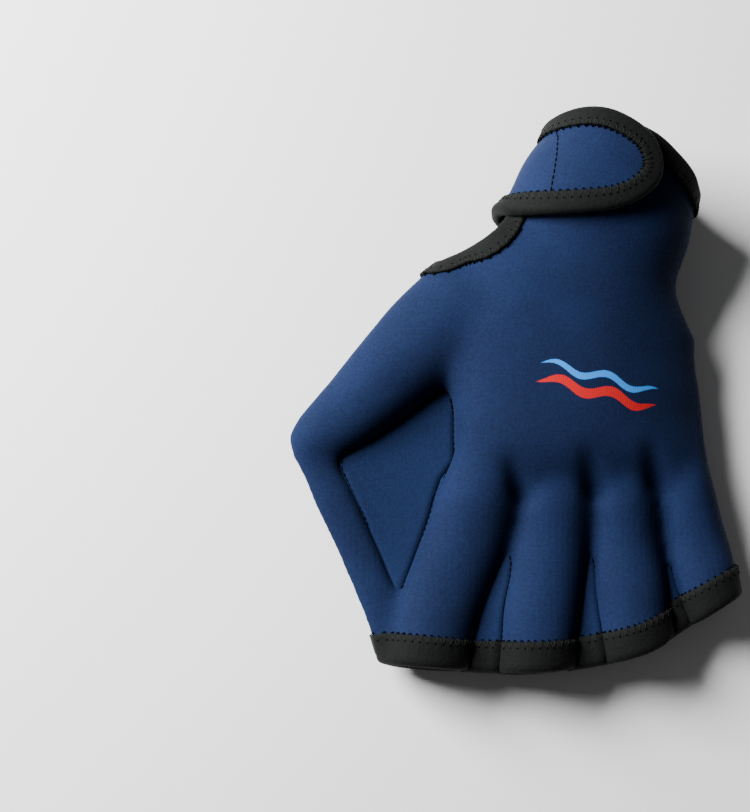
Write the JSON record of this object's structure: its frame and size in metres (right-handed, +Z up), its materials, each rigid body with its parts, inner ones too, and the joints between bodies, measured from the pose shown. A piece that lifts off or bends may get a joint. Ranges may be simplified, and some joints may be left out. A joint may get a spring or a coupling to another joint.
{
  "type": "webbed swim glove",
  "caption": "Fingerless webbed swim glove of soft neoprene for the left hand, with webs between the fingers, bound edges and a strap round the wrist.",
  "frame": {"origin": "under the middle of the glove's bounding box, on the surface that it lies on", "axes": "+X towards the little finger, +Y towards the cuff, +Z up out of the back of the hand"},
  "size_m": [0.1784, 0.2156, 0.0535],
  "materials": {
    "neoprene": "navy nylon jersey over neoprene, soft sheen",
    "web_knit": "navy knit with a dark fleck, matt",
    "binding_tape": "near-black folded tape with stitches along its edge",
    "hook_tape": "black hook tape, matt"
  },
  "bodies": {
    "root": {"back_panel": "neoprene", "palm_panel": "neoprene", "finger_web_index_middle": "web_knit", "finger_web_middle_ring": "web_knit", "finger_web_ring_little": "web_knit", "thumb_web": "web_knit", "fingertip_binding": "binding_tape", "cuff_binding": "binding_tape", "strap": "neoprene", "strap_binding": "binding_tape", "strap_closure": "hook_tape"}
  },
  "joints": []
}
